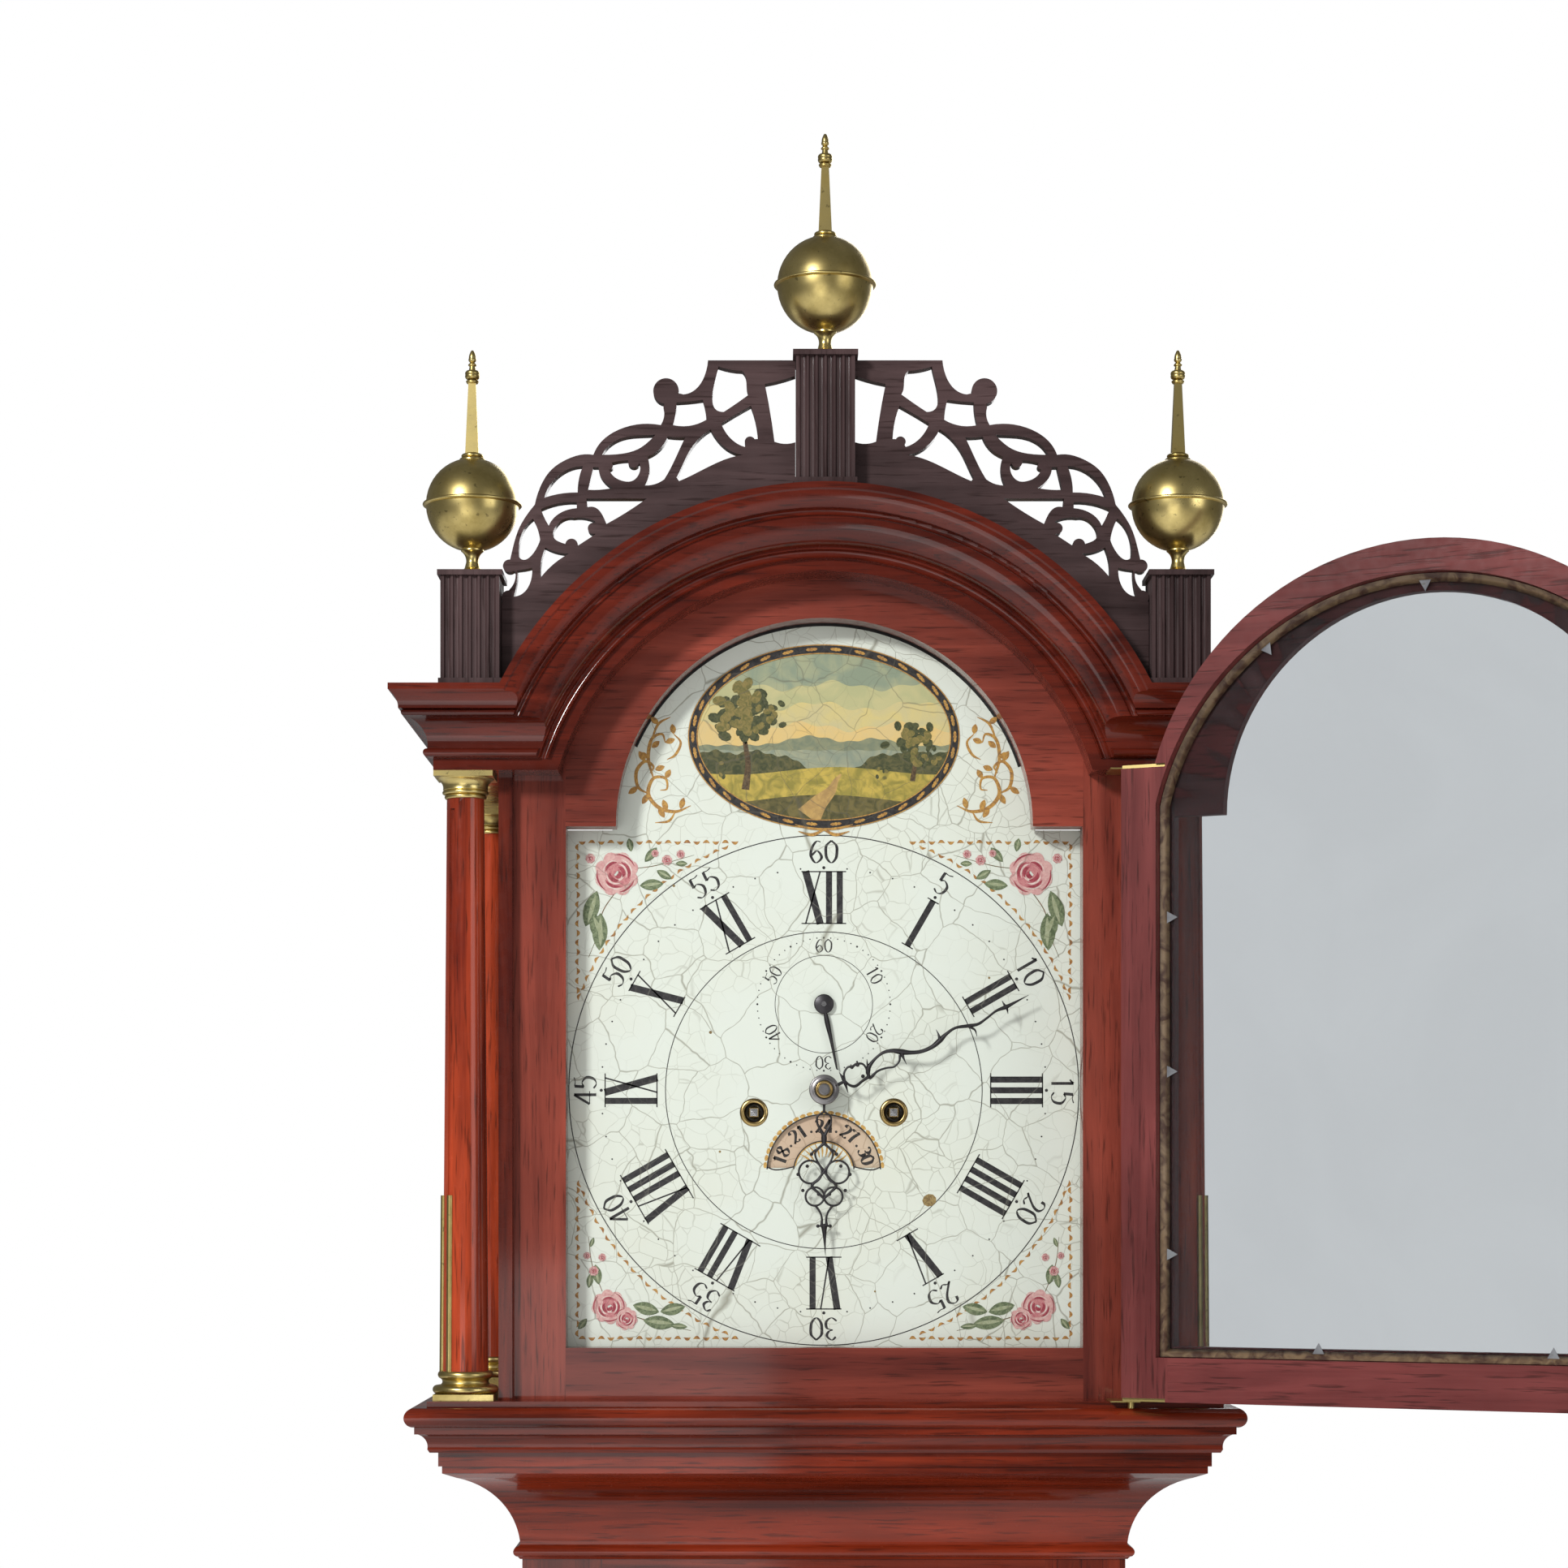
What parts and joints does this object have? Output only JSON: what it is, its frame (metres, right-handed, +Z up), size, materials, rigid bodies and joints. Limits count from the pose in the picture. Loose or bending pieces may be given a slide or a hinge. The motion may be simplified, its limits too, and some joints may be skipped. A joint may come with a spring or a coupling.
{
  "type": "tall case clock",
  "caption": "Tall case clock with an arched hood, open glazed door, painted dial, pierced fretwork, ball finials and a weight driven movement.",
  "frame": {"origin": "on the floor below the middle of the case, 118 mm in front of the rear face of the backboard", "axes": "+X to the viewer's right, -Y to the front where the dial faces, +Z up"},
  "size_m": [0.7326, 0.4075, 2.406],
  "materials": {
    "mahogany": "french polished",
    "dark_mahogany": "dark polished",
    "pine": "unfinished",
    "brass": "aged, polished on the high places",
    "steel": "polished",
    "bell_metal": "turned",
    "dial_paint": "old satin paint with fine cracks",
    "dark_steel": "polished",
    "glass": "old thin glass",
    "gut": "matt cord",
    "iron": "cast, blackened"
  },
  "bodies": {
    "case": {"bracket_feet": "mahogany", "base_moulding": "mahogany", "base_panels": "mahogany", "waist_base_moulding": "mahogany", "waist_front_frame": "mahogany", "waist_sides": "mahogany", "backboard": "pine", "quarter_columns": "mahogany", "quarter_column_brasses": "brass", "throat_moulding": "mahogany", "seatboard": "pine", "waist_door_hinges": "brass", "dial_plate": "dial_paint", "movement_plates": "brass", "back_cock": "brass", "bell": "bell_metal", "going_line": "gut", "strike_line": "gut"},
    "waist_door": {"waist_door": "mahogany", "waist_door_brasses": "brass"},
    "bolt": {"lock_bolt": "brass"},
    "key": {"door_key": "steel"},
    "hood": {"hood_base_moulding": "mahogany", "hood_sides": "mahogany", "side_lights": "glass", "dial_mask": "mahogany", "hood_frieze": "mahogany", "arch_cornice": "mahogany", "hood_roof": "pine", "fretwork": "dark_mahogany", "finial_plinths": "dark_mahogany", "finials": "brass", "hood_columns": "mahogany", "column_brasses": "brass", "door_pivots": "brass"},
    "hood_door": {"door_frame": "mahogany", "door_glass": "glass", "door_straps": "brass"},
    "calendar": {"calendar_ring": "brass"},
    "going_great": {"going_great_wheel": "brass"},
    "minute": {"centre_arbor": "steel", "minute_hand": "dark_steel"},
    "third": {"third_arbor": "steel"},
    "seconds": {"escape_arbor": "steel", "seconds_hand": "dark_steel"},
    "minute_wheel": {"minute_wheel": "brass"},
    "hour": {"hour_wheel": "brass", "hour_hand": "dark_steel"},
    "strike_great": {"strike_great_wheel": "brass"},
    "pin_wheel": {"pin_wheel": "brass"},
    "hammer": {"hammer": "steel"},
    "pendulum": {"pendulum_rod": "steel", "pendulum_bob": "brass"},
    "pallets": {"pallet_arbor": "steel"},
    "going_barrel": {"going_barrel": "brass"},
    "strike_barrel": {"strike_barrel": "brass"},
    "going_weight": {"going_weight": "iron"},
    "strike_weight": {"strike_weight": "iron"},
    "going_pulley": {"going_pulley": "brass"},
    "strike_pulley": {"strike_pulley": "brass"}
  },
  "joints": [
    {"name": "hood_slide", "type": "slide", "parent": "case", "child": "hood", "axis": [0, -1, 0], "range_m": [0, 0.32]},
    {"name": "hood_door_swing", "type": "hinge", "parent": "hood", "child": "hood_door", "pos_m": [0.1745, -0.116, 1.861], "axis": [0, 0, 1], "range_deg": [-154, 5]},
    {"name": "waist_door_swing", "type": "hinge", "parent": "case", "child": "waist_door", "pos_m": [0.143, -0.0653, 1.11], "axis": [0, 0, 1], "range_deg": [0, 110]},
    {"name": "key_turn", "type": "hinge", "parent": "waist_door", "child": "key", "pos_m": [-0.114, -0.06, 1.11], "axis": [0, -1, 0], "range_deg": [0, 90]},
    {"name": "bolt_throw", "type": "slide", "parent": "waist_door", "child": "bolt", "axis": [-1, 0, 0], "range_m": [0, 0.0071]},
    {"name": "calendar_turn", "type": "hinge", "parent": "case", "child": "calendar", "pos_m": [0, -0.059, 1.8125], "axis": [0, 1, 0], "continuous": true},
    {"name": "minute_turn", "type": "hinge", "parent": "case", "child": "minute", "pos_m": [0, -0.03, 1.86], "axis": [0, 1, 0], "continuous": true},
    {"name": "going_great_turn", "type": "hinge", "parent": "case", "child": "going_great", "pos_m": [0.041, -0.023, 1.847], "axis": [0, 1, 0], "continuous": true},
    {"name": "third_turn", "type": "hinge", "parent": "case", "child": "third", "pos_m": [0.00286, 0, 1.88705], "axis": [0, 1, 0], "continuous": true},
    {"name": "seconds_turn", "type": "hinge", "parent": "case", "child": "seconds", "pos_m": [0, 0, 1.9105], "axis": [0, 1, 0], "continuous": true},
    {"name": "minute_wheel_turn", "type": "hinge", "parent": "case", "child": "minute_wheel", "pos_m": [-0.02037, -0.04, 1.83963], "axis": [0, 1, 0], "continuous": true},
    {"name": "hour_turn", "type": "hinge", "parent": "case", "child": "hour", "pos_m": [0, -0.045, 1.86], "axis": [0, 1, 0], "continuous": true},
    {"name": "strike_great_turn", "type": "hinge", "parent": "case", "child": "strike_great", "pos_m": [-0.041, -0.023, 1.847], "axis": [0, 1, 0], "continuous": true},
    {"name": "pin_wheel_turn", "type": "hinge", "parent": "case", "child": "pin_wheel", "pos_m": [-0.04761, 0, 1.88447], "axis": [0, 1, 0], "continuous": true},
    {"name": "hammer_lift", "type": "hinge", "parent": "case", "child": "hammer", "pos_m": [-0.052, 0, 1.925], "axis": [0, 1, 0], "range_deg": [-25, 0], "stiffness_Nm_per_rad": 0.05, "springref_deg": 20.05},
    {"name": "pendulum_swing", "type": "hinge", "parent": "case", "child": "pendulum", "pos_m": [0, 0.056, 1.9416], "axis": [0, 1, 0], "range_deg": [-2.5, 2.5]},
    {"name": "pallet_rock", "type": "hinge", "parent": "case", "child": "pallets", "pos_m": [0, 0, 1.9416], "axis": [0, 1, 0], "range_deg": [-2.6, 2.6]},
    {"name": "going_weight_run", "type": "slide", "parent": "case", "child": "going_weight", "axis": [0, 0, 1], "range_m": [0, 1.2], "deforming": ["going_line"]},
    {"name": "strike_weight_run", "type": "slide", "parent": "case", "child": "strike_weight", "axis": [0, 0, 1], "range_m": [0, 1.2], "deforming": ["strike_line"]},
    {"name": "going_barrel_turn", "type": "hinge", "parent": "case", "child": "going_barrel", "pos_m": [0.041, 0, 1.847], "axis": [0, 1, 0], "continuous": true},
    {"name": "strike_barrel_turn", "type": "hinge", "parent": "case", "child": "strike_barrel", "pos_m": [-0.041, 0, 1.847], "axis": [0, 1, 0], "continuous": true},
    {"name": "going_pulley_turn", "type": "hinge", "parent": "going_weight", "child": "going_pulley", "pos_m": [0.0836, 0, 0.49], "axis": [0, 1, 0], "continuous": true},
    {"name": "strike_pulley_turn", "type": "hinge", "parent": "strike_weight", "child": "strike_pulley", "pos_m": [-0.0836, 0, 0.49], "axis": [0, 1, 0], "continuous": true}
  ],
  "couplings": [
    {"joint": "bolt_throw", "follows": "key_turn", "m_per_rad": 0.0044563},
    {"joint": "going_great_turn", "follows": "seconds_turn", "ratio": -0.0013889},
    {"joint": "third_turn", "follows": "seconds_turn", "ratio": -0.125},
    {"joint": "minute_turn", "follows": "seconds_turn", "ratio": 0.016667},
    {"joint": "minute_wheel_turn", "follows": "seconds_turn", "ratio": -0.016667},
    {"joint": "hour_turn", "follows": "seconds_turn", "ratio": 0.0013889},
    {"joint": "strike_great_turn", "follows": "pin_wheel_turn", "ratio": -0.095238},
    {"joint": "pallet_rock", "follows": "pendulum_swing", "ratio": 1},
    {"joint": "going_barrel_turn", "follows": "going_weight_run", "rad_per_m": -76.046},
    {"joint": "strike_barrel_turn", "follows": "strike_weight_run", "rad_per_m": 76.046},
    {"joint": "going_pulley_turn", "follows": "going_weight_run", "rad_per_m": 61.35},
    {"joint": "strike_pulley_turn", "follows": "strike_weight_run", "rad_per_m": -61.35}
  ]
}
